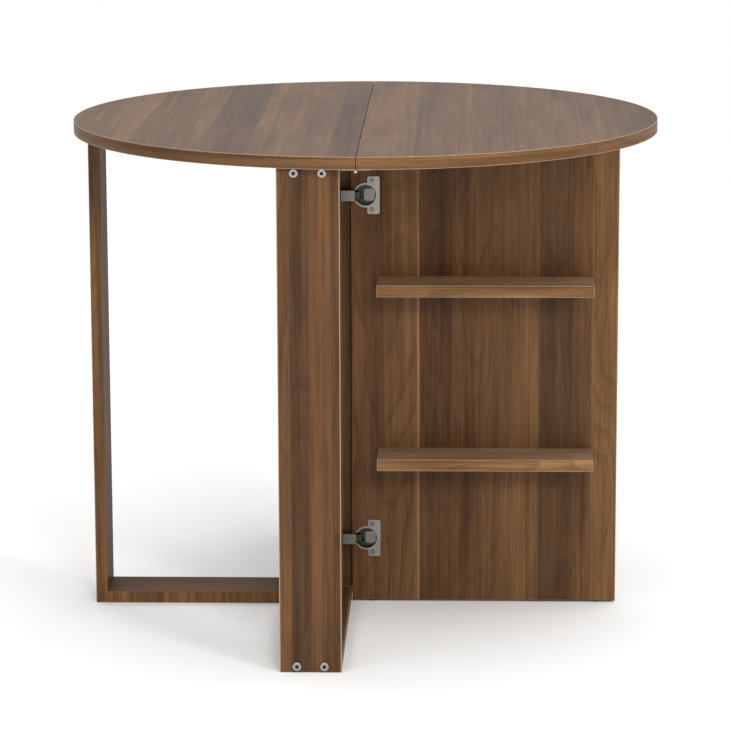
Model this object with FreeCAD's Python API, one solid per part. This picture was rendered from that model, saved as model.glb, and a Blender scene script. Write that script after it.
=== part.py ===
import FreeCAD, Part
import math
import os

# Gateleg table: a round top in two halves on a boarded frame. The left half is fixed. The right half is
# a drop leaf, held up by a gate with two shelves that swings in under the fixed structure.
#
# Frame: origin on the floor under the centre of the top, +X towards the leaf, +Y to the back, +Z up.
# Everything is drawn with the leaf up and the gate open. Millimetres.

# ---- driving dimensions -------------------------------------------------------------------------------
HEIGHT = 760.0                  # floor to the top's upper face
TOP_RADIUS = 445.0
BOARD = 18.0                    # thickness of every board
BAND = 1.0                      # thickness of the edge bands
SEAM_GAP = 1.0                  # between the two halves of the top

FRAME_LENGTH = 834.0            # central frame, front to back
FRAME_WIDTH = 90.0              # width of the central frame's boards
FRAME_SETBACK = 24.0            # from the middle of the seam to the central frame

LEFT_FRAME_REACH = 422.0        # from the middle of the seam to the outer post's outer face
LEFT_FRAME_DEPTH = 90.0

GATE_WIDTH = 410.0
GATE_ARRIS = 2.0                # chamfer on the hinge edge, which clears the frame as the gate swings
GATE_EDGE_GAP = 2.0             # open gate's edge to the central frame's right side plane
GATE_FLOOR_GAP = 3.0
GATE_LEAF_GAP = 1.0
GATE_FOLDED_GAP = 5.0           # folded gate to the central frame's right side
LIP_REACH = 7.0                 # centre board's lip, which closes the gap at the open gate's edge
LIP_FRONT = -2.0                # clear of the gate's corner as it swings

SHELF_LENGTH = 330.0
SHELF_DEPTH = 80.0
SHELF_INSET = 41.0              # from the gate's hinge edge
LOWER_SHELF_HEIGHT = 228.0      # floor to the lower shelf's underside
SHELF_SPACING = 270.0

HINGE_INSET = 99.0              # cup centre from the gate's top or bottom edge
CUP_EDGE_DISTANCE = 22.5        # cup centre from the gate's hinge edge
CUP_RADIUS = 17.5
CUP_DEPTH = 12.0
CUP_WALL = 1.5
CUP_FLOOR = 1.0
CUP_FLANGE = 1.2
CUP_SCREW_OFFSET = 9.5          # cup centre to the line of its two screws
CUP_SCREW_SPACING = 45.0
ARM_WIDTH = 16.0
ARM_WALL = 1.5
ARM_PIN_INSET = 2.5             # arm pin from the gate's hinge edge
ARM_PIN_REACH = 5.0             # and from its front face
LINK_PIN_RADIUS = 1.2
LINK_SWING_RADIUS = 5.0         # cup pin from the gate's axis

BARREL_RADIUS = 2.75            # drop leaf hinges
BARREL_DROP = 2.85              # barrel's axis below the top's underside
BARREL_PIN_RADIUS = 1.5
FLAP_LENGTH = 25.0
FLAP_REACH = 20.0
FLAP_THICKNESS = 1.5
KNUCKLE_GAP = 0.4
KNUCKLE_CLEARANCE = 0.25        # between a knuckle and the other flap
OUTER_LEAF_HINGE = 431.5        # from the middle, past the folded gate's end
MIDDLE_LEAF_HINGE = 45.0
RUNNING_CLEARANCE = 0.05        # radial, between a pin and what turns on it

DRILL_CLEARANCE = 0.1           # radial, between a fastener and its hole
PAST = 1.0                      # how far a hole runs past its screw, and a cutter past the face it enters
TOLERANCE = 0.01                # for telling edges apart

# ---- derived positions --------------------------------------------------------------------------------
UNDERSIDE = HEIGHT - BOARD
HALF_BOARD = BOARD / 2
HALF_LENGTH = FRAME_LENGTH / 2
STRETCHER_END = HALF_LENGTH - BOARD
TOP_STRETCHER_BASE = UNDERSIDE - BOARD

FRAME_RIGHT = -FRAME_SETBACK
FRAME_LEFT = FRAME_RIGHT - FRAME_WIDTH
FRAME_MIDDLE = (FRAME_LEFT + FRAME_RIGHT) / 2

OUTER_POST_LEFT = -LEFT_FRAME_REACH
OUTER_POST_RIGHT = OUTER_POST_LEFT + BOARD
INNER_POST_LEFT = FRAME_LEFT - BOARD
HALF_DEPTH = LEFT_FRAME_DEPTH / 2

GATE_LEFT = FRAME_RIGHT + GATE_EDGE_GAP
GATE_RIGHT = GATE_LEFT + GATE_WIDTH
GATE_BACK = -HALF_BOARD         # level with the centre board's front face
GATE_FRONT = GATE_BACK - BOARD
GATE_BASE = GATE_FLOOR_GAP
GATE_TOP = UNDERSIDE - GATE_LEAF_GAP

# Folding turns the gate a quarter turn, until its end is level with the front post. Its axis is the one
# point that the open gate and the folded gate share.
FOLDED_FACE = FRAME_RIGHT + GATE_FOLDED_GAP
FOLDED_END = -HALF_LENGTH
GATE_AXIS_X = (GATE_RIGHT + FOLDED_END + FOLDED_FACE - GATE_FRONT) / 2
GATE_AXIS_Y = (GATE_RIGHT + FOLDED_END - FOLDED_FACE + GATE_FRONT) / 2

SHELF_LEFT = GATE_LEFT + SHELF_INSET
SHELF_RIGHT = SHELF_LEFT + SHELF_LENGTH
SHELF_FRONT = GATE_FRONT - SHELF_DEPTH
SHELF_HEIGHTS = {"lower": LOWER_SHELF_HEIGHT, "upper": LOWER_SHELF_HEIGHT + SHELF_SPACING}

HINGE_HEIGHTS = {"lower": GATE_BASE + HINGE_INSET, "upper": GATE_TOP - HINGE_INSET}
CUP_X = GATE_LEFT + CUP_EDGE_DISTANCE

# The link turns on the arm pin. Its far end is slotted round the cup pin, which circles the gate's axis.
ARM_PIN_X = GATE_LEFT + ARM_PIN_INSET
ARM_PIN_Y = GATE_FRONT - ARM_PIN_REACH
ARM_PIN_DISTANCE = math.hypot(ARM_PIN_X - GATE_AXIS_X, ARM_PIN_Y - GATE_AXIS_Y)
ARM_PIN_BEARING = math.atan2(ARM_PIN_Y - GATE_AXIS_Y, ARM_PIN_X - GATE_AXIS_X)
CUP_PIN_BEARING = ARM_PIN_BEARING + math.pi / 4
CUP_PIN_X = GATE_AXIS_X + LINK_SWING_RADIUS * math.cos(CUP_PIN_BEARING)
CUP_PIN_Y = GATE_AXIS_Y + LINK_SWING_RADIUS * math.sin(CUP_PIN_BEARING)

SIDES = {"front": -1, "rear": 1}
LEAF_HINGE_CENTRES = {"front": -OUTER_LEAF_HINGE, "middle": MIDDLE_LEAF_HINGE, "rear": OUTER_LEAF_HINGE}

os.makedirs("parts", exist_ok=True)


# ---- helpers ------------------------------------------------------------------------------------------
def vector(x, y, z):
    return FreeCAD.Vector(x, y, z)


def board(x_range, y_range, z_range):
    """A box between three (low, high) pairs."""
    low = vector(x_range[0], y_range[0], z_range[0])
    size = [high - start for start, high in (x_range, y_range, z_range)]
    return Part.makeBox(size[0], size[1], size[2], low)


def prism(outline, z_low, z_high, inset=0.0):
    """An outline of (x, y) corners, drawn in by an inset, pushed up from z_low to z_high."""
    corners = [vector(x, y, z_low) for x, y in outline]
    face = Part.Face(Part.makePolygon(corners + corners[:1]))
    if inset:
        face = face.makeOffset2D(-inset, join=2)
    return face.extrude(vector(0, 0, z_high - z_low))


def rod(radius, start, end):
    """A cylinder between two points."""
    along = end - start
    return Part.makeCylinder(radius, along.Length, start, along)


def placed(shape, point, direction):
    """A shape drawn along +Z from the origin, moved to a point and a direction."""
    moved = shape.copy()
    moved.Placement = FreeCAD.Placement(point, FreeCAD.Rotation(vector(0, 0, 1), direction))
    return moved


def joined(shapes):
    """Several overlapping solids as one."""
    return shapes[0].multiFuse(shapes[1:]).removeSplitter()


def cut(shape, tools):
    return shape.cut(Part.makeCompound(tools)) if tools else shape


def rim_at(shape, z):
    """The round edges of an upright cylinder's end."""
    return [edge for edge in shape.Edges if abs(edge.CenterOfMass.z - z) < TOLERANCE]


def edges_along_y(box):
    return [edge for edge in box.Edges if abs(edge.Vertexes[0].Y - edge.Vertexes[1].Y) > TOLERANCE]


def save(node, shapes):
    """Writes one solid, or a group of like solids, as one node."""
    group = shapes if isinstance(shapes, list) else [shapes]
    shape = group[0] if len(group) == 1 else Part.makeCompound(group)
    shape.exportStep(f"parts/{node}.step")


# ---- fasteners: each is drawn along +Z with z = 0 at the face that it enters ---------------------------
BOLT_HEAD_RADIUS = 6.5
BOLT_HEAD_HEIGHT = 3.0
BOLT_HEAD_CHAMFER = 0.6
BOLT_HEX = 5.0                  # across the flats
BOLT_HEX_DEPTH = 2.8
BOLT_RADIUS = 3.0
BOLT_LENGTH = 62.0
BARREL_NUT_RADIUS = 5.0
BARREL_NUT_LENGTH = 14.0
BARREL_NUT_DEPTH = 50.0         # from the post's outer face
CONFIRMAT_RADIUS = 3.5
CONFIRMAT_HEAD_RADIUS = 5.0
CONFIRMAT_LENGTH = 50.0
CONFIRMAT_HEX = 4.0
CONFIRMAT_HEX_DEPTH = 3.0
CROSS_SPAN = 0.55               # cross-head recess, as a share of the screw's head
CROSS_BAR = 0.18                # its bars' width, likewise
CROSS_DEPTH = 1.2
DOWEL_RADIUS = 4.0
DOWEL_LENGTH = 30.0
DOWEL_CHAMFER = 0.8


def hex_socket(across_flats, depth, z_top):
    """A hexagonal hole tool, sunk from z_top."""
    corner = across_flats / math.sqrt(3)
    turns = [math.radians(60 * i) for i in range(6)]
    outline = [(corner * math.cos(a), corner * math.sin(a)) for a in turns]
    return prism(outline, z_top - PAST, z_top + depth)


def cross_recess(head_radius, z_top):
    """A cross-head driver hole tool, sunk from z_top."""
    across = (-CROSS_SPAN * head_radius, CROSS_SPAN * head_radius)
    bar = (-CROSS_BAR * head_radius, CROSS_BAR * head_radius)
    levels = (z_top - PAST, z_top + CROSS_DEPTH)
    return joined([board(across, bar, levels), board(bar, across, levels)])


def frame_bolt():
    head = Part.makeCylinder(BOLT_HEAD_RADIUS, BOLT_HEAD_HEIGHT, vector(0, 0, -BOLT_HEAD_HEIGHT))
    head = head.makeChamfer(BOLT_HEAD_CHAMFER, rim_at(head, -BOLT_HEAD_HEIGHT))
    shank = Part.makeCylinder(BOLT_RADIUS, BOLT_LENGTH)
    return joined([head, shank]).cut(hex_socket(BOLT_HEX, BOLT_HEX_DEPTH, -BOLT_HEAD_HEIGHT))


def barrel_nut():
    nut = Part.makeCylinder(BARREL_NUT_RADIUS, BARREL_NUT_LENGTH, vector(0, 0, -BARREL_NUT_LENGTH / 2))
    thread = rod(BOLT_RADIUS + DRILL_CLEARANCE, vector(0, -BARREL_NUT_RADIUS - PAST, 0),
                 vector(0, BARREL_NUT_RADIUS + PAST, 0))
    return nut.cut(thread)


def barrel_nut_hole():
    """Drilled from the board's lower face, and stopping short of its upper one."""
    return Part.makeCylinder(BARREL_NUT_RADIUS + DRILL_CLEARANCE, BARREL_NUT_LENGTH / 2 + HALF_BOARD,
                             vector(0, 0, -HALF_BOARD))


def countersunk(radius, head_radius, length, extra=0.0):
    """A flush countersunk screw, or with extra, the hole that it needs."""
    sink = head_radius - radius
    head = Part.makeCone(head_radius + extra, radius + extra, sink)
    shank = Part.makeCylinder(radius + extra, length - sink, vector(0, 0, sink))
    return joined([head, shank])


def confirmat():
    screw = countersunk(CONFIRMAT_RADIUS, CONFIRMAT_HEAD_RADIUS, CONFIRMAT_LENGTH)
    return screw.cut(hex_socket(CONFIRMAT_HEX, CONFIRMAT_HEX_DEPTH, 0))


def confirmat_hole():
    return countersunk(CONFIRMAT_RADIUS, CONFIRMAT_HEAD_RADIUS, CONFIRMAT_LENGTH + PAST, DRILL_CLEARANCE)


def wood_screw(radius, length):
    return countersunk(radius, 2 * radius, length).cut(cross_recess(2 * radius, 0))


def wood_screw_hole(radius, length):
    return countersunk(radius, 2 * radius, length + PAST, DRILL_CLEARANCE)


def pan_screw(radius, length, head_radius, head_height):
    """A screw whose round head stands proud."""
    head = Part.makeCylinder(head_radius, head_height, vector(0, 0, -head_height))
    head = head.makeFillet(head_height / 2, rim_at(head, -head_height))
    screw = joined([head, Part.makeCylinder(radius, length)])
    return screw.cut(cross_recess(head_radius, -head_height))


def plain_hole(radius, length):
    return Part.makeCylinder(radius + DRILL_CLEARANCE, length + PAST)


def dowel(extra=0.0):
    """A wooden dowel centred on the joint line, or with extra, the pair of holes for it."""
    pin = Part.makeCylinder(DOWEL_RADIUS + extra, DOWEL_LENGTH + 2 * extra,
                            vector(0, 0, -DOWEL_LENGTH / 2 - extra))
    ends = [edge for edge in pin.Edges if edge.Curve.TypeId == "Part::GeomCircle"]
    return pin.makeChamfer(DOWEL_CHAMFER, ends)


def fit_all(shape, places):
    """The shape at each (point, direction)."""
    return [placed(shape, point, direction) for point, direction in places]


# ---- where the fasteners go ---------------------------------------------------------------------------
RIGHTWARD = vector(1, 0, 0)
LEFTWARD = vector(-1, 0, 0)
BACKWARD = vector(0, 1, 0)
FORWARD = vector(0, -1, 0)
UPWARD = vector(0, 0, 1)
DOWNWARD = vector(0, 0, -1)

STRETCHER_MIDHEIGHTS = (HALF_BOARD, TOP_STRETCHER_BASE + HALF_BOARD)
BOLT_SPACING = 40.0
BOLT_XS = (FRAME_MIDDLE - BOLT_SPACING / 2, FRAME_MIDDLE + BOLT_SPACING / 2)

bolt_places = [(vector(x, side * HALF_LENGTH, z), vector(0, -side, 0))
               for side in SIDES.values() for z in STRETCHER_MIDHEIGHTS for x in BOLT_XS]
nut_places = [(vector(x, side * (HALF_LENGTH - BARREL_NUT_DEPTH), z), UPWARD)
              for side in SIDES.values() for z in STRETCHER_MIDHEIGHTS for x in BOLT_XS]
frame_dowel_places = [(vector(FRAME_MIDDLE, side * STRETCHER_END, z), BACKWARD)
                      for side in SIDES.values() for z in STRETCHER_MIDHEIGHTS]

LEFT_SCREW_YS = (-25.0, 25.0)
INNER_POST_SCREW_INSET = 150.0  # from the post's ends
left_frame_screw_places = [(vector(x, y, z), direction)
                           for x, direction in ((OUTER_POST_LEFT, RIGHTWARD), (FRAME_LEFT, LEFTWARD))
                           for z in STRETCHER_MIDHEIGHTS for y in LEFT_SCREW_YS]

INNER_POST_SCREW_HEIGHTS = (INNER_POST_SCREW_INSET, UNDERSIDE / 2, UNDERSIDE - INNER_POST_SCREW_INSET)
inner_post_screw_places = [(vector(INNER_POST_LEFT, 0, z), RIGHTWARD) for z in INNER_POST_SCREW_HEIGHTS]

CENTRE_SCREW_XS = (-92.0, -50.0)
centre_board_screw_places = [(vector(x, 0, z), direction)
                             for z, direction in ((0, UPWARD), (UNDERSIDE, DOWNWARD))
                             for x in CENTRE_SCREW_XS]

TOP_SCREW_RADIUS = 2.0
TOP_SCREW_LENGTH = 30.0
STRETCHER_SCREW_YS = (-300.0, -120.0, 120.0, 300.0)
RAIL_SCREW_XS = (-330.0, -210.0)
top_screw_places = ([(vector(FRAME_MIDDLE, y, TOP_STRETCHER_BASE), UPWARD) for y in STRETCHER_SCREW_YS]
                    + [(vector(x, 0, TOP_STRETCHER_BASE), UPWARD) for x in RAIL_SCREW_XS])

shelf_middles = [base + HALF_BOARD for base in SHELF_HEIGHTS.values()]
SHELF_SCREW_INSET = 45.0
SHELF_DOWEL_INSET = 100.0
shelf_screw_places = [(vector(x, GATE_BACK, z), FORWARD) for z in shelf_middles
                      for x in (SHELF_LEFT + SHELF_SCREW_INSET, SHELF_RIGHT - SHELF_SCREW_INSET)]
SHELF_DOWEL_SINK = 4.0          # dowels sit this much deeper in the shelf than in the gate
shelf_dowel_places = [(vector(x, GATE_FRONT - SHELF_DOWEL_SINK, z), FORWARD) for z in shelf_middles
                      for x in (SHELF_LEFT + SHELF_DOWEL_INSET, SHELF_RIGHT - SHELF_DOWEL_INSET)]

# ---- the two halves of the top ------------------------------------------------------------------------
LEAF_SCREW_RADIUS = 1.75
LEAF_SCREW_LENGTH = 14.0
LEAF_SCREW_REACH = 13.0         # from the seam
LEAF_SCREW_SPACING = 14.0


def flap_screw_places(side):
    """Screws of all the drop leaf hinges on one side of the seam, entering from below."""
    return [(vector(side * LEAF_SCREW_REACH, centre + offset, UNDERSIDE - FLAP_THICKNESS), UPWARD)
            for centre in LEAF_HINGE_CENTRES.values()
            for offset in (-LEAF_SCREW_SPACING / 2, LEAF_SCREW_SPACING / 2)]


def half_space(side):
    """Everything on one side of the seam gap, from well below the top to well above it."""
    near = side * SEAM_GAP / 2
    far = side * 2 * TOP_RADIUS
    reach = 2 * TOP_RADIUS
    return board((min(near, far), max(near, far)), (-reach, reach), (0, 2 * HEIGHT))


def half_top(side):
    disc = Part.makeCylinder(TOP_RADIUS - BAND, BOARD, vector(0, 0, UNDERSIDE))
    return disc.common(half_space(side))


def half_rim(side):
    outer = Part.makeCylinder(TOP_RADIUS, BOARD, vector(0, 0, UNDERSIDE))
    inner = Part.makeCylinder(TOP_RADIUS - BAND, BOARD, vector(0, 0, UNDERSIDE))
    return outer.cut(inner).common(half_space(side))


def build_tops():
    flap_hole = wood_screw_hole(LEAF_SCREW_RADIUS, LEAF_SCREW_LENGTH)
    top_hole = wood_screw_hole(TOP_SCREW_RADIUS, TOP_SCREW_LENGTH)
    fixed_holes = fit_all(flap_hole, flap_screw_places(-1)) + fit_all(top_hole, top_screw_places)
    save("fixed_top", cut(half_top(-1), fixed_holes))
    save("fixed_top_edge_band", half_rim(-1))
    save("drop_leaf", cut(half_top(1), fit_all(flap_hole, flap_screw_places(1))))
    save("drop_leaf_edge_band", half_rim(1))
    save("top_fixing_screws", fit_all(wood_screw(TOP_SCREW_RADIUS, TOP_SCREW_LENGTH), top_screw_places))


# ---- central frame ------------------------------------------------------------------------------------
def side_bands(y_range, z_range):
    """The pair of edge bands on a board as wide as the central frame."""
    return [board((FRAME_LEFT, FRAME_LEFT + BAND), y_range, z_range),
            board((FRAME_RIGHT - BAND, FRAME_RIGHT), y_range, z_range)]


def build_central_frame():
    core_x = (FRAME_LEFT + BAND, FRAME_RIGHT - BAND)
    bolt_holes = fit_all(plain_hole(BOLT_RADIUS, BOLT_LENGTH), bolt_places)
    nut_holes = fit_all(barrel_nut_hole(), nut_places)
    dowel_holes = fit_all(dowel(DRILL_CLEARANCE), frame_dowel_places)
    centre_holes = fit_all(confirmat_hole(), centre_board_screw_places)
    top_holes = fit_all(wood_screw_hole(TOP_SCREW_RADIUS, TOP_SCREW_LENGTH), top_screw_places)

    for name, side in SIDES.items():
        faces = sorted((side * HALF_LENGTH, side * STRETCHER_END))
        post = board(core_x, faces, (0, UNDERSIDE))
        save(f"{name}_post", cut(post, bolt_holes + dowel_holes))
        save(f"{name}_post_edge_bands", side_bands(faces, (0, UNDERSIDE)))

    run = (-STRETCHER_END, STRETCHER_END)
    stretcher_holes = bolt_holes + nut_holes + dowel_holes + centre_holes
    bottom_levels = (0, BOARD)
    top_levels = (TOP_STRETCHER_BASE, UNDERSIDE)
    save("bottom_stretcher", cut(board(core_x, run, bottom_levels), stretcher_holes))
    save("top_stretcher", cut(board(core_x, run, top_levels), stretcher_holes + top_holes))
    save("stretcher_edge_bands", side_bands(run, bottom_levels) + side_bands(run, top_levels))

    between = (BOARD, TOP_STRETCHER_BASE)
    core = board((FRAME_LEFT, FRAME_RIGHT), (-HALF_BOARD, HALF_BOARD), between)
    lip = board((FRAME_RIGHT, FRAME_RIGHT + LIP_REACH), (LIP_FRONT, HALF_BOARD), between)
    post_holes = fit_all(confirmat_hole(), inner_post_screw_places)
    plate_holes = fit_all(wood_screw_hole(PLATE_SCREW_RADIUS, PLATE_SCREW_LENGTH), plate_screw_places)
    save("centre_board", cut(joined([core, lip]), centre_holes + post_holes + plate_holes))

    save("frame_bolts", fit_all(frame_bolt(), bolt_places))
    save("frame_barrel_nuts", fit_all(barrel_nut(), nut_places))
    save("frame_dowels", fit_all(dowel(), frame_dowel_places))
    save("centre_board_screws", fit_all(confirmat(), centre_board_screw_places))


# ---- left leg frame -----------------------------------------------------------------------------------
def end_bands(x_range, z_range):
    """The pair of edge bands on a board as deep as the left leg frame."""
    return [board(x_range, (-HALF_DEPTH, -HALF_DEPTH + BAND), z_range),
            board(x_range, (HALF_DEPTH - BAND, HALF_DEPTH), z_range)]


def build_left_frame():
    core_y = (-HALF_DEPTH + BAND, HALF_DEPTH - BAND)
    screw_holes = fit_all(confirmat_hole(), left_frame_screw_places)
    post_holes = fit_all(confirmat_hole(), inner_post_screw_places)
    top_holes = fit_all(wood_screw_hole(TOP_SCREW_RADIUS, TOP_SCREW_LENGTH), top_screw_places)

    outer_x = (OUTER_POST_LEFT, OUTER_POST_RIGHT)
    inner_x = (INNER_POST_LEFT, FRAME_LEFT)
    rail_x = (OUTER_POST_RIGHT, INNER_POST_LEFT)
    tall = (0, UNDERSIDE)
    bottom_levels = (0, BOARD)
    top_levels = (TOP_STRETCHER_BASE, UNDERSIDE)
    save("left_outer_post", cut(board(outer_x, core_y, tall), screw_holes))
    save("left_inner_post", cut(board(inner_x, core_y, tall), screw_holes + post_holes))
    save("left_bottom_rail", cut(board(rail_x, core_y, bottom_levels), screw_holes))
    save("left_top_rail", cut(board(rail_x, core_y, top_levels), screw_holes + top_holes))
    save("left_frame_edge_bands", end_bands(outer_x, tall) + end_bands(inner_x, tall)
         + end_bands(rail_x, bottom_levels) + end_bands(rail_x, top_levels))
    save("left_frame_screws", fit_all(confirmat(), left_frame_screw_places))
    save("inner_post_screws", fit_all(confirmat(), inner_post_screw_places))


# ---- gate ---------------------------------------------------------------------------------------------
GLIDE_RADIUS = 8.0
GLIDE_CHAMFER = 1.0
GLIDE_NAIL_RADIUS = 1.25
GLIDE_NAIL_LENGTH = 14.0
GLIDE_INSET = 30.0              # from the gate's ends
CUP_SCREW_RADIUS = 1.75
CUP_SCREW_LENGTH = 15.0
CUP_SCREW_HEAD_RADIUS = 3.5
CUP_SCREW_HEAD_HEIGHT = 1.6

glide_places = [(vector(x, GATE_FRONT + HALF_BOARD, 0), UPWARD)
                for x in (GATE_LEFT + GLIDE_INSET, GATE_RIGHT - GLIDE_INSET)]
cup_screw_places = [(vector(CUP_X + CUP_SCREW_OFFSET, GATE_FRONT - CUP_FLANGE, height + offset), BACKWARD)
                    for height in HINGE_HEIGHTS.values()
                    for offset in (-CUP_SCREW_SPACING / 2, CUP_SCREW_SPACING / 2)]


def glide():
    foot = Part.makeCylinder(GLIDE_RADIUS, GATE_BASE)
    foot = foot.makeChamfer(GLIDE_CHAMFER, rim_at(foot, 0))
    nail = Part.makeCylinder(GLIDE_NAIL_RADIUS, GLIDE_NAIL_LENGTH, vector(0, 0, GATE_BASE))
    return joined([foot, nail])


def arris_cut():
    """The triangle taken off the front of the gate's hinge edge."""
    corner = [(GATE_LEFT, GATE_FRONT), (GATE_LEFT + GATE_ARRIS, GATE_FRONT),
              (GATE_LEFT, GATE_FRONT + GATE_ARRIS)]
    return prism(corner, GATE_BASE, GATE_TOP)


def build_gate():
    nail_hole = plain_hole(GLIDE_NAIL_RADIUS, GATE_BASE + GLIDE_NAIL_LENGTH)
    cup_holes = [rod(CUP_RADIUS + DRILL_CLEARANCE, vector(CUP_X, GATE_FRONT - PAST, height),
                     vector(CUP_X, GATE_FRONT + CUP_DEPTH, height)) for height in HINGE_HEIGHTS.values()]
    screw_holes = fit_all(confirmat_hole(), shelf_screw_places)
    dowel_holes = fit_all(dowel(DRILL_CLEARANCE), shelf_dowel_places)
    panel_holes = (cup_holes + screw_holes + dowel_holes + fit_all(nail_hole, glide_places)
                   + fit_all(plain_hole(CUP_SCREW_RADIUS, CUP_SCREW_LENGTH), cup_screw_places))

    faces = (GATE_FRONT, GATE_BACK)
    tall = (GATE_BASE, GATE_TOP)
    panel = board((GATE_LEFT + BAND, GATE_RIGHT - BAND), faces, tall)
    save("gate_panel", cut(panel, panel_holes + [arris_cut()]))
    save("gate_edge_bands", [board((GATE_LEFT, GATE_LEFT + BAND), faces, tall).cut(arris_cut()),
                             board((GATE_RIGHT - BAND, GATE_RIGHT), faces, tall)])

    length = (SHELF_LEFT, SHELF_RIGHT)
    for name, base in SHELF_HEIGHTS.items():
        levels = (base, base + BOARD)
        core = board(length, (SHELF_FRONT + BAND, GATE_FRONT), levels)
        save(f"{name}_shelf", cut(core, screw_holes + dowel_holes))
        save(f"{name}_shelf_edge_band", board(length, (SHELF_FRONT, SHELF_FRONT + BAND), levels))

    save("shelf_screws", fit_all(confirmat(), shelf_screw_places))
    save("shelf_dowels", fit_all(dowel(), shelf_dowel_places))
    save("gate_glides", fit_all(glide(), glide_places))


# ---- concealed cup hinges: plate and arm on the centre board, cup in the gate, a link between them -----
PLATE_THICKNESS = 3.0
PLATE_DISTANCE = 37.0           # plate's screws from the centre board's edge
PLATE_SCREW_SPACING = 32.0
PLATE_SCREW_RADIUS = 1.75
PLATE_SCREW_LENGTH = 15.0
PLATE_WING_HALF_WIDTH = 7.0
PLATE_WING_REACH = 25.0
PLATE_WING_CORNER = 5.0
PLATE_RIB_HEIGHT = 7.0
PLATE_RIB_HALF_WIDTH = 5.8
PLATE_HALF_LENGTH = 18.0
PLATE_X = FRAME_RIGHT - PLATE_DISTANCE
PLATE_BACK = -HALF_BOARD
PLATE_FACE = PLATE_BACK - PLATE_THICKNESS

ARM_TAIL_REACH = 24.0
ARM_TAIL = PLATE_X - ARM_TAIL_REACH
ARM_TAIL_RUN = 4.0
ARM_TAIL_DROP = 5.0
ARM_LIFT = 0.4                  # clear of the plate's wings
ARM_LOW = PLATE_FACE - ARM_LIFT
ARM_BACK = GATE_FRONT           # outer face over the plate
ARM_NOSE_HEIGHT = 4.5           # outer face over the arm pin
ARM_NOSE = ARM_PIN_Y - ARM_NOSE_HEIGHT
ARM_TIP_REACH = 3.5             # past the arm pin
ARM_TIP = ARM_PIN_X + ARM_TIP_REACH
ARM_SETBACK = 0.5               # clear of the gate's hinge edge as it swings
ARM_SHOULDER = FRAME_RIGHT - ARM_SETBACK
ARM_RISE_RUN = 20.0             # where the arm starts to rise, from its shoulder
ARM_NOSE_RUN = 12.0             # where it is level again
ARM_NOSE_DEPTH = 3.2            # arm's cheeks, behind the arm pin
ARM_NOSE_LOW = ARM_PIN_Y + ARM_NOSE_DEPTH
ARM_SCREW_RADIUS = 2.0
ARM_SCREW_HEAD_RADIUS = 4.0
ARM_SCREW_HEAD_HEIGHT = 1.8
ARM_SCREW_LENGTH = 12.0
ARM_SCREW_OFFSET = 12.0
ARM_SCREW_XS = (PLATE_X - ARM_SCREW_OFFSET, PLATE_X + ARM_SCREW_OFFSET)

FLANGE_HALF_HEIGHT = 29.0
FLANGE_RIM_RADIUS = 19.0
FLANGE_NEAR = 2.5               # flange's straight part, from the cup centre
FLANGE_FAR = 21.5
FLANGE_CORNER = 3.0
NOTCH_HALF_WIDTH = 8.5
NOTCH_DEPTH = 6.0
NOTCH_REACH = 12.0              # notch's inner end, from the cup centre

DAMPER_BASE_HEIGHT = 5.0        # round base, from the bowl's floor
DAMPER_SLOT_HALF_WIDTH = 6.0    # its slot, which the link swings in
DAMPER_HEIGHT = 7.3             # plate on the base, clear of the folded arm
DAMPER_HALF_WIDTH = 9.5
DAMPER_NEAR = -2.5              # from the cup centre
DAMPER_FAR = 14.0
DAMPER_BEVEL = 3.0

LINK_HALF_WIDTH = 5.0
LINK_EYE_RADIUS = 2.4
LINK_BAR_HALF_HEIGHT = 1.6
LINK_SLOT_RADIUS = 1.7
LINK_SLOT_WALL = 1.2
LINK_SLOT_SPARE = 0.3

plate_screw_places = [(vector(PLATE_X, PLATE_FACE, height + offset), BACKWARD)
                      for height in HINGE_HEIGHTS.values()
                      for offset in (-PLATE_SCREW_SPACING / 2, PLATE_SCREW_SPACING / 2)]
arm_screw_places = [(vector(x, ARM_BACK, height), BACKWARD)
                    for height in HINGE_HEIGHTS.values() for x in ARM_SCREW_XS]


def hinge_plate(height):
    wing = board((PLATE_X - PLATE_WING_HALF_WIDTH, PLATE_X + PLATE_WING_HALF_WIDTH),
                 (PLATE_FACE, PLATE_BACK), (height - PLATE_WING_REACH, height + PLATE_WING_REACH))
    wing = wing.makeFillet(PLATE_WING_CORNER, edges_along_y(wing))
    rib = board((PLATE_X - PLATE_HALF_LENGTH, PLATE_X + PLATE_HALF_LENGTH),
                (PLATE_BACK - PLATE_RIB_HEIGHT, PLATE_BACK),
                (height - PLATE_RIB_HALF_WIDTH, height + PLATE_RIB_HALF_WIDTH))
    holes = (fit_all(wood_screw_hole(PLATE_SCREW_RADIUS, PLATE_SCREW_LENGTH), plate_screw_places)
             + fit_all(plain_hole(ARM_SCREW_RADIUS, ARM_SCREW_LENGTH), arm_screw_places))
    return cut(joined([wing, rib]), holes)


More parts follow.
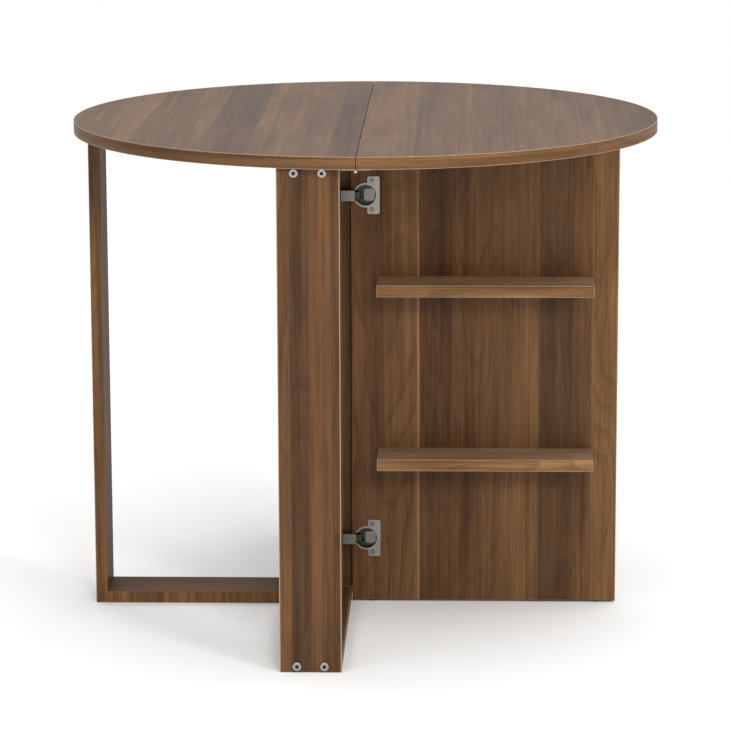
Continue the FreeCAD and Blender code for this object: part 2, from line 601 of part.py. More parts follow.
def hinge_arm(height):
    """A folded channel, open towards the plate, that rises to a nose over the arm pin."""
    rise_start = (ARM_SHOULDER - ARM_RISE_RUN, ARM_BACK)
    rise_end = (ARM_SHOULDER - ARM_NOSE_RUN, ARM_NOSE)
    back = [(ARM_TAIL, ARM_BACK + ARM_TAIL_DROP), (ARM_TAIL + ARM_TAIL_RUN, ARM_BACK), rise_start, rise_end]
    outside = [(ARM_TAIL, ARM_LOW)] + back
    outside += [(ARM_TIP, ARM_NOSE), (ARM_TIP, ARM_NOSE_LOW), (ARM_SHOULDER, ARM_NOSE_LOW),
                (ARM_SHOULDER, ARM_LOW)]
    open_side = ARM_LOW + 2 * ARM_WALL
    open_end = ARM_TIP + 2 * ARM_WALL
    inside = [(ARM_TAIL, open_side)] + back + [(open_end, ARM_NOSE), (open_end, open_side)]
    half = ARM_WIDTH / 2
    solid = prism(outside, height - half, height + half)
    hollow = prism(inside, height - half + ARM_WALL, height + half - ARM_WALL, ARM_WALL)
    pin_hole = rod(LINK_PIN_RADIUS + RUNNING_CLEARANCE, vector(ARM_PIN_X, ARM_PIN_Y, height - half - PAST),
                   vector(ARM_PIN_X, ARM_PIN_Y, height + half + PAST))
    holes = fit_all(plain_hole(ARM_SCREW_RADIUS, ARM_SCREW_LENGTH), arm_screw_places)
    return cut(solid, [hollow, pin_hole] + holes)


def hinge_cup(height):
    """A round bowl sunk in the gate, with a flange on the gate's face and a notch for the link."""
    centre = vector(CUP_X, GATE_FRONT, height)
    bowl = rod(CUP_RADIUS, centre, vector(CUP_X, GATE_FRONT + CUP_DEPTH, height))
    rim = rod(FLANGE_RIM_RADIUS, vector(CUP_X, GATE_FRONT - CUP_FLANGE, height), centre)
    flange = board((CUP_X + FLANGE_NEAR, CUP_X + FLANGE_FAR), (GATE_FRONT - CUP_FLANGE, GATE_FRONT),
                   (height - FLANGE_HALF_HEIGHT, height + FLANGE_HALF_HEIGHT))
    flange = flange.makeFillet(FLANGE_CORNER, edges_along_y(flange))
    hollow = rod(CUP_RADIUS - CUP_WALL, vector(CUP_X, GATE_FRONT - CUP_FLANGE - PAST, height),
                 vector(CUP_X, GATE_FRONT + CUP_DEPTH - CUP_FLOOR, height))
    notch = board((CUP_X - 2 * CUP_RADIUS, CUP_X - NOTCH_REACH),
                  (GATE_FRONT - CUP_FLANGE - PAST, GATE_FRONT + NOTCH_DEPTH),
                  (height - NOTCH_HALF_WIDTH, height + NOTCH_HALF_WIDTH))
    holes = fit_all(plain_hole(CUP_SCREW_RADIUS, CUP_SCREW_LENGTH), cup_screw_places)
    return cut(joined([bowl, rim, flange]), [hollow, notch, cup_pin(height, DRILL_CLEARANCE)] + holes)


def cup_pin(height, extra=0.0):
    """A pin across the bowl that ends inside its wall, or with extra, the holes for it."""
    reach = math.sqrt((CUP_RADIUS - CUP_WALL / 2) ** 2 - (CUP_PIN_X - CUP_X) ** 2)
    return rod(LINK_PIN_RADIUS + extra, vector(CUP_PIN_X, CUP_PIN_Y, height - reach),
               vector(CUP_PIN_X, CUP_PIN_Y, height + reach))


def arm_pin(height):
    half = ARM_WIDTH / 2
    return rod(LINK_PIN_RADIUS, vector(ARM_PIN_X, ARM_PIN_Y, height - half),
               vector(ARM_PIN_X, ARM_PIN_Y, height + half))


def damper(height):
    """The soft-close insert in the bowl: a round base with a slot for the link, and a bevelled plate."""
    floor = GATE_FRONT + CUP_DEPTH - CUP_FLOOR
    base_top = floor - DAMPER_BASE_HEIGHT
    base = rod(CUP_RADIUS - CUP_WALL - RUNNING_CLEARANCE, vector(CUP_X, base_top, height),
               vector(CUP_X, floor, height))
    slot = board((CUP_X - CUP_RADIUS, CUP_X + DAMPER_NEAR), (base_top - PAST, floor + PAST),
                 (height - DAMPER_SLOT_HALF_WIDTH, height + DAMPER_SLOT_HALF_WIDTH))
    plate = board((CUP_X + DAMPER_NEAR, CUP_X + DAMPER_FAR), (floor - DAMPER_HEIGHT, floor),
                  (height - DAMPER_HALF_WIDTH, height + DAMPER_HALF_WIDTH))
    return joined([base.cut(slot), plate.makeChamfer(DAMPER_BEVEL, edges_along_y(plate))])


def hinge_link(height):
    """A flat bar that turns on the arm pin and is slotted round the cup pin."""
    open_length = math.hypot(CUP_PIN_X - ARM_PIN_X, CUP_PIN_Y - ARM_PIN_Y)
    slot_start = ARM_PIN_DISTANCE - LINK_SWING_RADIUS - LINK_SLOT_SPARE
    slot_end = open_length + LINK_SLOT_SPARE
    eye_radius = LINK_SLOT_RADIUS + LINK_SLOT_WALL
    low = vector(0, 0, -LINK_HALF_WIDTH)
    width = 2 * LINK_HALF_WIDTH

    def capsule(radius, start, end):
        straight = board((start, end), (-radius, radius), (-LINK_HALF_WIDTH, LINK_HALF_WIDTH))
        ends = [Part.makeCylinder(radius, width, low + vector(x, 0, 0)) for x in (start, end)]
        return joined([straight] + ends)

    eye = Part.makeCylinder(LINK_EYE_RADIUS, width, low)
    bar = board((0, slot_start), (-LINK_BAR_HALF_HEIGHT, LINK_BAR_HALF_HEIGHT),
                (-LINK_HALF_WIDTH, LINK_HALF_WIDTH))
    body = joined([eye, bar, capsule(eye_radius, slot_start, slot_end)])
    pin_hole = Part.makeCylinder(LINK_PIN_RADIUS + RUNNING_CLEARANCE, width, low)
    link = cut(body, [pin_hole, capsule(LINK_SLOT_RADIUS, slot_start, slot_end)])
    bearing = math.degrees(math.atan2(CUP_PIN_Y - ARM_PIN_Y, CUP_PIN_X - ARM_PIN_X))
    link.rotate(vector(0, 0, 0), UPWARD, bearing)
    link.translate(vector(ARM_PIN_X, ARM_PIN_Y, height))
    return link


def build_cup_hinges():
    for name, height in HINGE_HEIGHTS.items():
        save(f"{name}_hinge_plate", hinge_plate(height))
        save(f"{name}_hinge_arm", hinge_arm(height))
        save(f"{name}_hinge_cup", hinge_cup(height))
        save(f"{name}_hinge_link", hinge_link(height))
    heights = HINGE_HEIGHTS.values()
    save("hinge_arm_pins", [arm_pin(height) for height in heights])
    save("hinge_cup_pins", [cup_pin(height) for height in heights])
    save("hinge_dampers", [damper(height) for height in heights])
    save("hinge_plate_screws", fit_all(wood_screw(PLATE_SCREW_RADIUS, PLATE_SCREW_LENGTH),
                                       plate_screw_places))
    arm_screw = pan_screw(ARM_SCREW_RADIUS, ARM_SCREW_LENGTH, ARM_SCREW_HEAD_RADIUS, ARM_SCREW_HEAD_HEIGHT)
    save("hinge_arm_screws", fit_all(arm_screw, arm_screw_places))
    cup_screw = pan_screw(CUP_SCREW_RADIUS, CUP_SCREW_LENGTH, CUP_SCREW_HEAD_RADIUS, CUP_SCREW_HEAD_HEIGHT)
    save("hinge_cup_screws", fit_all(cup_screw, cup_screw_places))


# ---- drop leaf hinges: butt hinges under the seam, with the middle knuckle on the leaf's flap ----------
def knuckle_spans(centre):
    """The front, middle and rear knuckle as (low, high) pairs along Y."""
    pitch = (FLAP_LENGTH + KNUCKLE_GAP) / 3
    start = centre - FLAP_LENGTH / 2
    return [(start + i * pitch, start + (i + 1) * pitch - KNUCKLE_GAP) for i in range(3)]


def leaf_flap(centre, side, own_knuckles):
    """One flap of a butt hinge: a plate under the top, with its knuckles round the pin."""
    axis_z = UNDERSIDE - BARREL_DROP
    levels = (UNDERSIDE - FLAP_THICKNESS, UNDERSIDE)
    clear = BARREL_RADIUS + KNUCKLE_CLEARANCE
    far = side * FLAP_REACH

    def strip(near, y_range):
        return board(sorted((side * near, far)), y_range, levels)

    spans = knuckle_spans(centre)
    solids = [strip(clear, (spans[0][0], spans[-1][1]))]
    for index in own_knuckles:
        low, high = spans[index]
        barrel = rod(BARREL_RADIUS, vector(0, low, axis_z), vector(0, high, axis_z))
        solids += [strip(SEAM_GAP, (low, high)), barrel]
    bore = rod(BARREL_PIN_RADIUS + RUNNING_CLEARANCE, vector(0, spans[0][0] - PAST, axis_z),
               vector(0, spans[-1][1] + PAST, axis_z))
    holes = fit_all(wood_screw_hole(LEAF_SCREW_RADIUS, LEAF_SCREW_LENGTH), flap_screw_places(side))
    return cut(joined(solids), [bore] + holes)


def build_leaf_hinges():
    axis_z = UNDERSIDE - BARREL_DROP
    pins = []
    for name, centre in LEAF_HINGE_CENTRES.items():
        save(f"{name}_leaf_hinge_fixed_flap", leaf_flap(centre, -1, (0, 2)))
        save(f"{name}_leaf_hinge_moving_flap", leaf_flap(centre, 1, (1,)))
        half = FLAP_LENGTH / 2
        ends = [vector(0, y, axis_z) for y in (centre - half, centre + half)]
        pins.append(rod(BARREL_PIN_RADIUS, *ends))
    save("leaf_hinge_pins", pins)
    screw = wood_screw(LEAF_SCREW_RADIUS, LEAF_SCREW_LENGTH)
    save("leaf_hinge_fixed_screws", fit_all(screw, flap_screw_places(-1)))
    save("leaf_hinge_moving_screws", fit_all(screw, flap_screw_places(1)))


build_tops()
build_central_frame()
build_left_frame()
build_gate()
build_cup_hinges()
build_leaf_hinges()
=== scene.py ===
import math

import bpy
from mathutils import Matrix, Vector


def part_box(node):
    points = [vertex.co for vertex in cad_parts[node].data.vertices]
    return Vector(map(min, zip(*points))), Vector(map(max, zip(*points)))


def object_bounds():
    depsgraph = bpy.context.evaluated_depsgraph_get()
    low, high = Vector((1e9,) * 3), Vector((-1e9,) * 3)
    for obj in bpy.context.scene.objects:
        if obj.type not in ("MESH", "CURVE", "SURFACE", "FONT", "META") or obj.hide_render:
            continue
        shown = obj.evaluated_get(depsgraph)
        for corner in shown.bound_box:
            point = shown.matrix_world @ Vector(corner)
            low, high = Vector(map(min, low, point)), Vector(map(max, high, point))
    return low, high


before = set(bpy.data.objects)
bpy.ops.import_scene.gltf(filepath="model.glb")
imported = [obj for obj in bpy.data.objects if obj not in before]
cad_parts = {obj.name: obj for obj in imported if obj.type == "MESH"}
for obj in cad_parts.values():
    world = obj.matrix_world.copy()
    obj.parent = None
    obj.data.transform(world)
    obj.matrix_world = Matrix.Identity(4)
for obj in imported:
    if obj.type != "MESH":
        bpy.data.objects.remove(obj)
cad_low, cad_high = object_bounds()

# A round drop-leaf table in walnut laminate, on a pale studio floor. Lengths are in metres, but the
# planks' widths and the camera's lens are in millimetres.

MM = 0.001
TOP_RADIUS = (cad_high.x - cad_low.x) / 2
BOLT_HEAD_RADIUS = 6.5 * MM
SOCKET_RADIUS = 2.95 * MM

# Colours of the laminate: its planks, the pale line at some of their joints, and the plainer shelves, whose
# one tone is lighter and greyer as painted sheen for their tops.
TONES = {
    "umber": (0.080, 0.0405, 0.0172),
    "brown": (0.095, 0.0435, 0.0178),
    "chestnut": (0.115, 0.0550, 0.0215),
    "tan": (0.134, 0.0665, 0.0260),
    "honey": (0.160, 0.0820, 0.0320),
    "pale": (0.270, 0.145, 0.062),
    "shelf_sheen": (0.300, 0.195, 0.115),
}
NICKEL = (0.32, 0.31, 0.28)
# Lighter tan painted along the boards' edges: a painted highlight where the rounded edges catch the light,
# and partly the paler edge of the banding.
EDGE_HIGHLIGHT_TONE = (0.44, 0.31, 0.215, 1.0)

# Planks across each board: tone and width in millimetres, from the low side of the board.
GATE_PLANKS = [("brown", 50), ("tan", 51), ("pale", 2), ("brown", 52), ("chestnut", 73), ("tan", 60),
               ("umber", 53), ("chestnut", 28), ("honey", 41)]
POST_PLANKS = [("chestnut", 17), ("umber", 28), ("chestnut", 32), ("umber", 13)]
LEFT_TOP_PLANKS = [("chestnut", 57), ("tan", 60), ("chestnut", 58), ("tan", 42), ("brown", 68),
                   ("tan", 76), ("chestnut", 42), ("brown", 42)]
RIGHT_TOP_PLANKS = [("tan", 76), ("honey", 2), ("chestnut", 74), ("tan", 12), ("chestnut", 66),
                    ("tan", 44), ("chestnut", 50), ("honey", 2), ("chestnut", 54), ("brown", 65)]
NARROW_PLANKS = [("chestnut", 38), ("brown", 52)]
# The shelves' one pale tone is painted sheen for their tops, lighter than their laminate.
SHELF_PLANKS = [("shelf_sheen", 80)]
PLANK_WANDER = 2.5 * MM             # how far a joint between planks strays from a straight line

# Layers of the walnut figure. A scale is in cycles per metre: across the grain, then along it.
RING_SCALE = (11.0, 2.4)
RING_COUNT = 15.0
RING_TONES = [(0.0, (1, 1, 1, 1)), (0.62, (0.86, 0.83, 0.80, 1)), (0.9, (0.55, 0.50, 0.47, 1)),
              (1.0, (1, 1, 1, 1))]
RING_PATCH_SCALE = (6.0, 1.1)
CLOUD_SCALE = (22.0, 2.6)
CLOUD_TONES = [(0.26, (0.55, 0.52, 0.50, 1)), (0.44, (0.86, 0.84, 0.82, 1)),
               (0.56, (1.10, 1.10, 1.10, 1)), (0.74, (1.50, 1.46, 1.40, 1))]
STREAK_SCALE = (120.0, 2.6)
STREAK_TONES = [(0.3, (0.60, 0.54, 0.50, 1)), (0.5, (1.0, 1.0, 1.0, 1)), (0.7, (1.45, 1.40, 1.30, 1))]
LINE_SCALE = (620.0, 9.0)
LINE_TONES = [(0.34, (0.76, 0.73, 0.71, 1)), (0.66, (1.22, 1.20, 1.17, 1))]
PORE_SCALE = (1500.0, 60.0)
PORE_TONE = (0.42, 0.37, 0.35, 1)
BAND_SCALE = (110.0, 2.5)
DRAWN_SCALE = (2600.0, 400.0)       # drawn grain of the plated steel
MOULDED_SCALE = 1400.0              # texture of moulded plastic

CAMERA_PLACE = (0.16779, -5.22731, 1.44253)
CAMERA_LENS = 169.22
CAMERA_SENSOR = 36.0
CAMERA_PITCH = 0.2023               # radians down from level
CAMERA_YAW = -0.0322
CAMERA_ROLL = -0.0032
LAMP_TARGET = (0.0, 0.0, 0.4)
FLOOR_REACH = 30.0


class Shader:
    """A node material. Its methods add nodes and return the sockets that the next nodes take."""

    def __init__(self, name):
        self.material = bpy.data.materials.new(name)
        self.material.use_nodes = True
        self.tree = self.material.node_tree
        self.surface = self.tree.nodes["Principled BSDF"]

    def feed(self, socket, value):
        """Links a socket to another one, or gives it a value."""
        if isinstance(value, bpy.types.NodeSocket):
            self.tree.links.new(value, socket)
        else:
            socket.default_value = value

    def node(self, kind, inputs, output=0, **settings):
        made = self.tree.nodes.new(kind)
        for key, value in settings.items():
            setattr(made, key, value)
        for key, value in inputs.items():
            self.feed(made.inputs[key], value)
        return made.outputs[output]

    def set(self, **inputs):
        """Feeds the surface shader's own sockets, named with underscores for spaces."""
        for key, value in inputs.items():
            self.feed(self.surface.inputs[key.replace("_", " ")], value)

    def math(self, operation, *values, clamp=False):
        return self.node("ShaderNodeMath", dict(enumerate(values)), operation=operation, use_clamp=clamp)

    def position(self):
        """The point in the object's own frame, as three sockets."""
        made = self.tree.nodes.new("ShaderNodeTexCoord")
        split = self.tree.nodes.new("ShaderNodeSeparateXYZ")
        self.tree.links.new(made.outputs["Object"], split.inputs[0])
        return dict(zip("xyz", split.outputs))

    def vector(self, x, y, z):
        return self.node("ShaderNodeCombineXYZ", {0: x, 1: y, 2: z})

    def noise(self, vector, seed, detail=2.0, roughness=0.5, distortion=0.0):
        """Noise of about one cycle per unit of the vector, from 0 to 1 around 0.5."""
        inputs = {"Vector": vector, "W": seed, "Scale": 1.0, "Detail": detail, "Roughness": roughness,
                  "Distortion": distortion}
        return self.node("ShaderNodeTexNoise", inputs, noise_dimensions="4D")

    def mix(self, blend, factor, first, second):
        return self.node("ShaderNodeMix", {0: factor, 6: first, 7: second}, 2, data_type="RGBA",
                         blend_type=blend, clamp_factor=True)

    def span(self, value, low, high, to_low=0.0, to_high=1.0):
        """The value carried from one range to another, held at its ends."""
        inputs = {"Value": value, "From Min": low, "From Max": high, "To Min": to_low, "To Max": to_high}
        return self.node("ShaderNodeMapRange", inputs)

    def ramp(self, value, stops):
        """Two sockets, colour and alpha, from (position, colour) stops."""
        made = self.tree.nodes.new("ShaderNodeValToRGB")
        elements = made.color_ramp.elements
        while len(elements) < len(stops):
            elements.new(0.5)
        for element, (position, colour) in zip(elements, stops):
            element.position = position
            element.color = colour
        self.tree.links.new(value, made.inputs[0])
        return made.outputs[0], made.outputs[1]


def plank_stops(planks, joint=2.4):
    """Ramp stops for planks side by side. Alpha holds a number of each plank's own."""
    total = sum(width for tone, width in planks)
    stops = []
    edge = 0.0
    for number, (tone, width) in enumerate(planks):
        colour = (*TONES[tone], (number * 0.618) % 1.0)
        blend = min(joint, width / 2) / 2
        stops.append(((edge + blend) / total, colour))
        edge += width
        stops.append(((edge - blend) / total, colour))
    return stops


def grain(shader, along, across, third, tone, seed):
    """Walnut figure over a base tone: growth rings, clouds, streaks and pores, drawn out along the grain.
    Returns the colour, and a height for bump and gloss."""
    def stretched(scale):
        across_scale, along_scale = scale
        return shader.vector(shader.math("MULTIPLY", across, across_scale),
                             shader.math("MULTIPLY", along, along_scale),
                             shader.math("MULTIPLY", third, across_scale))

    field = shader.noise(stretched(RING_SCALE), seed, detail=1.5, roughness=0.40, distortion=0.35)
    rings = shader.math("FRACT", shader.math("MULTIPLY", field, RING_COUNT))
    patches = shader.noise(stretched(RING_PATCH_SCALE), seed, detail=1.0)
    visible = shader.span(patches, 0.38, 0.60, 0.12, 0.62)
    colour = shader.mix("MULTIPLY", visible, tone, shader.ramp(rings, RING_TONES)[0])
    clouds = shader.noise(stretched(CLOUD_SCALE), seed, detail=3.5, roughness=0.55, distortion=0.4)
    colour = shader.mix("MULTIPLY", 0.8, colour, shader.ramp(clouds, CLOUD_TONES)[0])
    streaks = shader.noise(stretched(STREAK_SCALE), seed, detail=5.0, roughness=0.68)
    colour = shader.mix("MULTIPLY", 0.8, colour, shader.ramp(streaks, STREAK_TONES)[0])
    lines = shader.noise(stretched(LINE_SCALE), seed, detail=2.0, roughness=0.6)
    colour = shader.mix("MULTIPLY", 0.7, colour, shader.ramp(lines, LINE_TONES)[0])
    pores = shader.noise(stretched(PORE_SCALE), seed, detail=1.0)
    pored = shader.span(pores, 0.61, 0.70)
    colour = shader.mix("MULTIPLY", shader.math("MULTIPLY", pored, 0.5), colour, PORE_TONE)
    height = shader.math("SUBTRACT", streaks, shader.math("MULTIPLY", pored, 0.6))
    return colour, height


def edge_highlight_mask(shader, place, box, width=0.7 * MM):
    """1 on the narrow strip along each edge of a box, where two of its faces meet: the strip where a
    highlight is painted.
    """
    low, high = box
    gaps = []
    for axis, bottom, top in zip("xyz", low, high):
        offset = shader.math("ABSOLUTE", shader.math("SUBTRACT", place[axis], (bottom + top) / 2))
        gaps.append(shader.math("SUBTRACT", (top - bottom) / 2, offset))
    nearer = shader.math("MINIMUM", gaps[0], gaps[1])
    farther = shader.math("MAXIMUM", gaps[0], gaps[1])
    second = shader.math("MAXIMUM", nearer, shader.math("MINIMUM", farther, gaps[2]))
    return shader.span(second, 0.35 * width, width, 1.0, 0.0)


def finish_wood(shader, colour, height, rough=0.46, relief=0.06, gloss=0.18):
    shader.set(Base_Color=colour, Specular_IOR_Level=gloss)
    shader.set(Roughness=shader.span(height, 0.2, 0.8, rough + 0.08, rough - 0.04))
    bump = shader.node("ShaderNodeBump", {"Height": height, "Strength": relief, "Distance": 0.3 * MM})
    shader.set(Normal=bump)


def walnut_board(node, along, across, planks, seed, edge_highlight=0.35, gloss=0.18):
    """Planked laminate on a board: which way the grain runs, and which way the planks lie."""
    shader = Shader("walnut_" + node)
    place = shader.position()
    third = place[next(axis for axis in "xyz" if axis not in (along, across))]
    low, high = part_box(node)
    start = low["xyz".index(across)]
    total = sum(width for tone, width in planks) * MM
    wander = shader.noise(shader.vector(shader.math("MULTIPLY", place[along], 3.0), 0.0, 0.0), seed)
    stray = shader.span(wander, 0.2, 0.8, -PLANK_WANDER, PLANK_WANDER)
    shifted = shader.math("ADD", place[across], stray)
    spread = shader.span(shifted, start, start + total)
    tone, own = shader.ramp(spread, plank_stops(planks))
    plank_seed = shader.math("ADD", shader.math("MULTIPLY", own, 40.0), seed)
    colour, height = grain(shader, place[along], place[across], third, tone, plank_seed)
    if edge_highlight:
        # Painted highlight: a lighter tone along the board's edges, where they catch the light.
        painted_light_mask = edge_highlight_mask(shader, place, (low, high))
        colour = shader.mix("MIX", shader.math("MULTIPLY", painted_light_mask, edge_highlight), colour, EDGE_HIGHLIGHT_TONE)
    finish_wood(shader, colour, height, gloss=gloss)
    dress(node, shader)


def edge_band(node, along, seed, tones=("chestnut", "honey"), edge_highlight=0.8):
    """A thin strip of the same laminate, lighter and redder, with its grain along the strip, and a painted
    highlight along its edges.
    """
    shader = Shader("band_" + node)
    place = shader.position()
    across = [axis for axis in "xyz" if axis != along]
    colour, height = band_grain(shader, place[along], place[across[0]], place[across[1]], seed, tones)
    # Painted highlight along the band's edges, partly its paler edge.
    painted_light_mask = edge_highlight_mask(shader, place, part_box(node), 1.3 * MM)
    colour = shader.mix("MIX", shader.math("MULTIPLY", painted_light_mask, edge_highlight), colour, EDGE_HIGHLIGHT_TONE)
    finish_wood(shader, colour, height)
    dress(node, shader)


def band_grain(shader, along, across, third, seed, tones):
    """Figure of a band, over a base that goes from one tone to the other in long sweeps."""
    across_scale, along_scale = BAND_SCALE
    point = shader.vector(shader.math("MULTIPLY", along, along_scale),
                          shader.math("MULTIPLY", across, across_scale),
                          shader.math("MULTIPLY", third, across_scale))
    sweep = shader.noise(point, seed, detail=2.5, roughness=0.5, distortion=0.3)
    first, second = (TONES[tone] + (1.0,) for tone in tones)
    base = shader.ramp(sweep, [(0.36, first), (0.62, second)])[0]
    return grain(shader, along, across, third, base, seed)


def rim_band(node, seed):
    """The band round the top: its grain follows the rim, and a highlight is painted along its top and bottom
    edges.
    """
    shader = Shader("band_" + node)
    place = shader.position()
    round_the_rim = shader.math("MULTIPLY", shader.math("ARCTAN2", place["y"], place["x"]), TOP_RADIUS)
    colour, height = band_grain(shader, round_the_rim, place["z"], 0.0, seed, ("brown", "honey"))
    # Painted highlight: a lighter tone along the band's top and bottom edges.
    low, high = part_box(node)
    gap = shader.math("MINIMUM", shader.math("SUBTRACT", high.z, place["z"]),
                      shader.math("SUBTRACT", place["z"], low.z))
    painted_light_mask = shader.span(gap, 0.3 * MM, 0.9 * MM, 0.75, 0.0)
    colour = shader.mix("MIX", painted_light_mask, colour, EDGE_HIGHLIGHT_TONE)
    finish_wood(shader, colour, height)
    dress(node, shader)


def metal(name, colour, rough, brushed):
    """Plated steel, with a faint drawn grain in its gloss."""
    shader = Shader(name)
    place = shader.position()
    across_scale, along_scale = DRAWN_SCALE
    point = shader.vector(shader.math("MULTIPLY", place["x"], across_scale),
                          shader.math("MULTIPLY", place["y"], across_scale),
                          shader.math("MULTIPLY", place["z"], along_scale))
    drawn = shader.noise(point, 1.0, detail=2.0, roughness=0.5)
    dull = tuple(0.9 * channel for channel in colour) + (1.0,)
    shader.set(Base_Color=shader.mix("MIX", shader.span(drawn, 0.3, 0.7), colour + (1.0,), dull))
    shader.set(Roughness=shader.span(drawn, 0.25, 0.75, rough - brushed, rough + brushed), Metallic=1.0)
    bump = shader.node("ShaderNodeBump", {"Height": drawn, "Strength": 0.03, "Distance": 0.03 * MM})
    shader.set(Normal=bump)
    return shader


def paint_shade(shader, painted_light_mask, depth):
    """Dulls a material where the mask is 1: painted shade, as falls in a recess."""
    colour = shader.surface.inputs["Base Color"].links[0].from_socket
    # Painted shade: the base colour multiplied darker where the mask is 1.
    shade = (1.0 - depth, 1.0 - depth, 1.0 - depth, 1.0)
    shader.set(Base_Color=shader.mix("MULTIPLY", painted_light_mask, colour, shade))


def bolt_metal():
    """Bright zinc with painted shade in its hexagon sockets, found from each socket's distance to its bolt's
    axis.
    """
    shader = metal("bright_zinc", (0.40, 0.40, 0.39), 0.22, 0.05)
    place = shader.position()
    low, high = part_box("frame_bolts")
    squares = []
    for axis in "xz":
        start, end = getattr(low, axis), getattr(high, axis)
        from_middle = shader.math("ABSOLUTE", shader.math("SUBTRACT", place[axis], (start + end) / 2))
        from_bolt = shader.math("SUBTRACT", from_middle, (end - start) / 2 - BOLT_HEAD_RADIUS)
        squares.append(shader.math("POWER", from_bolt, 2.0))
    radius = shader.math("SQRT", shader.math("ADD", *squares))
    inside = shader.span(radius, SOCKET_RADIUS - 0.1 * MM, SOCKET_RADIUS, 1.0, 0.0)
    sunk = shader.span(shader.math("ABSOLUTE", place["y"]), high.y - 0.4 * MM, high.y - 0.1 * MM, 1.0, 0.0)
    # Painted shade down in each hexagon socket.
    paint_shade(shader, shader.math("MULTIPLY", inside, sunk), 0.93)
    return shader


def cup_metal():
    """Nickel with painted shade down inside the bowl."""
    shader = metal("nickel_cup", NICKEL, 0.26, 0.07)
    place = shader.position()
    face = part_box("upper_hinge_cup")[0].y
    depth = shader.math("SUBTRACT", place["y"], face)
    # Painted shade, deeper into the bowl.
    paint_shade(shader, shader.span(depth, 1.5 * MM, 4.0 * MM), 0.8)
    return shader


def moulded(name, colour, rough):
    """Moulded plastic: a fine even texture."""
    shader = Shader(name)
    place = shader.position()
    point = shader.vector(*(shader.math("MULTIPLY", place[axis], MOULDED_SCALE) for axis in "xyz"))
    fine = shader.noise(point, 3.0, detail=2.0)
    darker = tuple(0.8 * channel for channel in colour) + (1.0,)
    shader.set(Base_Color=shader.mix("MIX", fine, darker, colour + (1.0,)))
    shader.set(Roughness=shader.span(fine, 0.3, 0.7, rough - 0.06, rough + 0.06))
    shader.set(Normal=shader.node("ShaderNodeBump", {"Height": fine, "Strength": 0.2, "Distance": 0.1 * MM}))
    return shader


def damper_metal():
    """The insert in the bowl: darker on its base, where shade is painted, and lighter on the plate that
    stands up from it.
    """
    shader = metal("damper_plate", tuple(0.8 * channel for channel in NICKEL), 0.3, 0.06)
    place = shader.position()
    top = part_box("hinge_dampers")[0].y
    depth = shader.math("SUBTRACT", place["y"], top)
    # Painted shade on the base, below the plate's face.
    paint_shade(shader, shader.span(depth, 0.2 * MM, 1.2 * MM), 0.75)
    return shader


def dress(node, shader):
    """Gives a CAD node its material."""
    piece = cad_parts[node]
    for material_slot in piece.material_slots:
        material_slot.material = shader.material


def dress_boards():
    for node, seed in (("front_post", 1.0), ("rear_post", 2.0)):
        walnut_board(node, "z", "x", POST_PLANKS, seed)
        edge_band(node + "_edge_bands", "z", seed + 0.3, ("honey", "pale"))
    walnut_board("gate_panel", "z", "x", GATE_PLANKS, 3.0)
    for node, seed in (("bottom_stretcher", 4.0), ("top_stretcher", 5.0)):
        walnut_board(node, "y", "x", POST_PLANKS, seed)
    walnut_board("centre_board", "z", "x", POST_PLANKS, 6.0)
    for node, seed in (("left_outer_post", 7.0), ("left_inner_post", 8.0)):
        walnut_board(node, "z", "y", NARROW_PLANKS, seed, gloss=0.05)
    for node, seed in (("left_bottom_rail", 9.0), ("left_top_rail", 10.0)):
        walnut_board(node, "x", "y", NARROW_PLANKS, seed)
    for node, seed in (("upper_shelf", 11.0), ("lower_shelf", 12.0)):
        walnut_board(node, "x", "y", SHELF_PLANKS, seed, gloss=1.0)
        edge_band(node + "_edge_band", "x", seed + 0.3, ("chestnut", "pale"), edge_highlight=0.5)
    edge_band("stretcher_edge_bands", "y", 13.0)
    edge_band("left_frame_edge_bands", "z", 14.0)
    edge_band("gate_edge_bands", "z", 15.0)
    walnut_board("fixed_top", "y", "x", LEFT_TOP_PLANKS, 16.0, edge_highlight=0.0, gloss=0.9)
    walnut_board("drop_leaf", "y", "x", RIGHT_TOP_PLANKS, 17.0, edge_highlight=0.0, gloss=0.9)
    rim_band("fixed_top_edge_band", 17.0)
    rim_band("drop_leaf_edge_band", 17.5)


def dress_fittings():
    nickel = metal("nickel", NICKEL, 0.26, 0.07)
    cup = cup_metal()
    # Nickel darkened to nearly black for the hinge links and cup pins: painted shade, as they sit deep in
    # the hinge.
    link = metal("nickel_link_painted_shade", tuple(0.18 * channel for channel in NICKEL), 0.3, 0.07)
    pin = metal("bright_pin", (0.80, 0.72, 0.62), 0.25, 0.05)
    bolt = bolt_metal()
    flap = metal("bronzed_flap", (0.20, 0.18, 0.15), 0.34, 0.07)
    # A dark zinc for the screws, darker than the flange they hold: painted shade for the gaps and recesses
    # round their heads.
    screw = metal("screw_zinc_painted_shade", (0.22, 0.215, 0.20), 0.24, 0.06)
    damper = damper_metal()
    glide = moulded("glide_black", (0.03, 0.025, 0.02), 0.5)
    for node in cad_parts:
        if node in ("frame_bolts", "frame_barrel_nuts"):
            dress(node, bolt)
        elif node == "gate_glides":
            dress(node, glide)
        elif node == "hinge_dampers":
            dress(node, damper)
        elif node.endswith("screws"):
            dress(node, screw)
        elif node.endswith("hinge_cup"):
            dress(node, cup)
        elif node.endswith("hinge_link") or node == "hinge_cup_pins":
            dress(node, link)
        elif node == "leaf_hinge_pins":
            dress(node, pin)
        elif "leaf_hinge" in node:
            dress(node, flap)
        elif "hinge" in node:
            dress(node, nickel)
    beech = Shader("beech")
    place = beech.position()
    colour, height = grain(beech, place["z"], place["x"], place["y"], (0.50, 0.34, 0.19, 1.0), 20.0)
    finish_wood(beech, colour, height, rough=0.6)
    for node in ("frame_dowels", "shelf_dowels"):
        dress(node, beech)


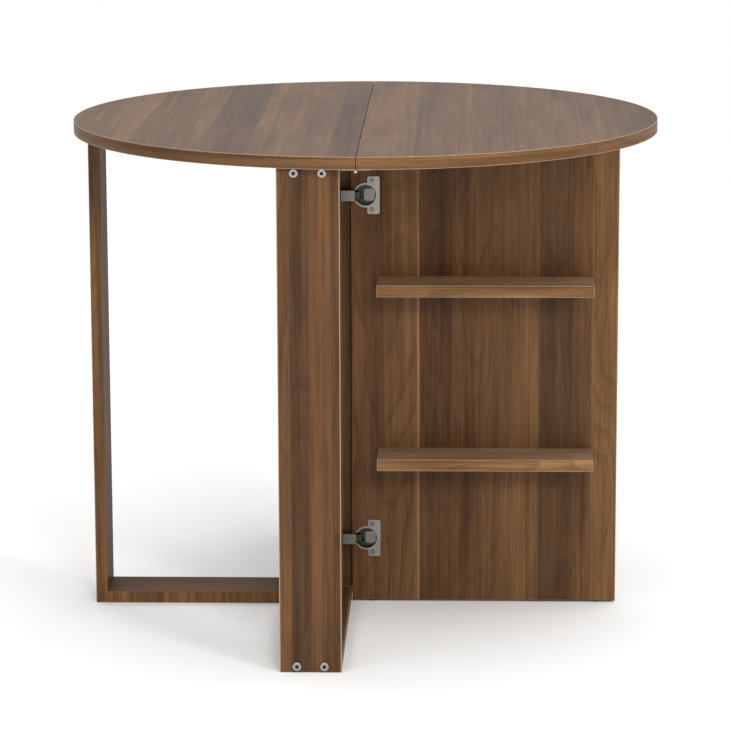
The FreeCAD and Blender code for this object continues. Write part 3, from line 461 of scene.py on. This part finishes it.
def make_floor():
    """A pale seamless floor, wide enough to fill the view."""
    mesh = bpy.data.meshes.new("studio_floor")
    corners = [(x * FLOOR_REACH, y * FLOOR_REACH, 0) for x, y in ((-1, -1), (1, -1), (1, 1), (-1, 1))]
    mesh.from_pydata(corners, [], [(0, 1, 2, 3)])
    floor = bpy.data.objects.new("studio_floor", mesh)
    bpy.context.collection.objects.link(floor)
    shader = Shader("pale_floor")
    place = shader.position()
    patches = shader.noise(shader.vector(place["x"], place["y"], 0.0), 5.0, detail=2.0)
    shader.set(Base_Color=shader.mix("MIX", patches, (0.88, 0.88, 0.875, 1), (0.90, 0.90, 0.895, 1)),
               Roughness=0.7)
    mesh.materials.append(shader.material)


def soft_light(name, place, target, size, power, mirrored=True):
    """A square lamp. When it isn't mirrored, it lights the table but glossy faces don't show it."""
    light = bpy.data.lights.new(name, "AREA")
    light.shape = "SQUARE"
    light.size = size
    light.energy = power
    lamp = bpy.data.objects.new(name, light)
    lamp.visible_glossy = mirrored
    lamp.location = place
    lamp.rotation_euler = (Vector(target) - Vector(place)).to_track_quat("-Z", "Y").to_euler()
    bpy.context.collection.objects.link(lamp)


def soft_sun(name, towards, strength, spread):
    """Even light from one direction, with soft shadows."""
    light = bpy.data.lights.new(name, "SUN")
    light.energy = strength
    light.angle = math.radians(spread)
    lamp = bpy.data.objects.new(name, light)
    lamp.rotation_euler = Vector(towards).to_track_quat("-Z", "Y").to_euler()
    bpy.context.collection.objects.link(lamp)


def make_lights():
    soft_sun("sky", (-0.05, -0.1, -1.0), 2.6, 100.0)
    soft_light("key", (2.7, -3.2, 1.9), LAMP_TARGET, 0.9, 60.0, mirrored=False)
    soft_light("upper", (0.9, -4.3, 2.6), LAMP_TARGET, 1.2, 66.0, mirrored=False)
    soft_light("fill", (-2.6, -3.4, 1.4), LAMP_TARGET, 2.4, 20.0)
    world = bpy.data.worlds.new("studio")
    world.use_nodes = True
    background = world.node_tree.nodes["Background"]
    background.inputs["Color"].default_value = (1.0, 1.0, 1.0, 1.0)
    background.inputs["Strength"].default_value = 0.33
    bpy.context.scene.world = world
    bpy.context.scene.view_settings.view_transform = "Standard"


def make_camera():
    """A long lens a little to the right of the seam, looking slightly down."""
    data = bpy.data.cameras.new("camera")
    data.sensor_width = CAMERA_SENSOR
    data.lens = CAMERA_LENS
    camera = bpy.data.objects.new("camera", data)
    level_forward = Vector((math.sin(CAMERA_YAW), math.cos(CAMERA_YAW), 0.0))
    forward = level_forward * math.cos(CAMERA_PITCH) - Vector((0.0, 0.0, math.sin(CAMERA_PITCH)))
    level_right = Vector((math.cos(CAMERA_YAW), -math.sin(CAMERA_YAW), 0.0))
    level_up = level_right.cross(forward)
    right = math.cos(CAMERA_ROLL) * level_right + math.sin(CAMERA_ROLL) * level_up
    up = right.cross(forward)
    turn = Matrix((right, up, -forward)).transposed()
    camera.matrix_world = Matrix.Translation(CAMERA_PLACE) @ turn.to_4x4()
    bpy.context.collection.objects.link(camera)
    bpy.context.scene.camera = camera


dress_boards()
dress_fittings()
make_floor()
make_lights()
make_camera()
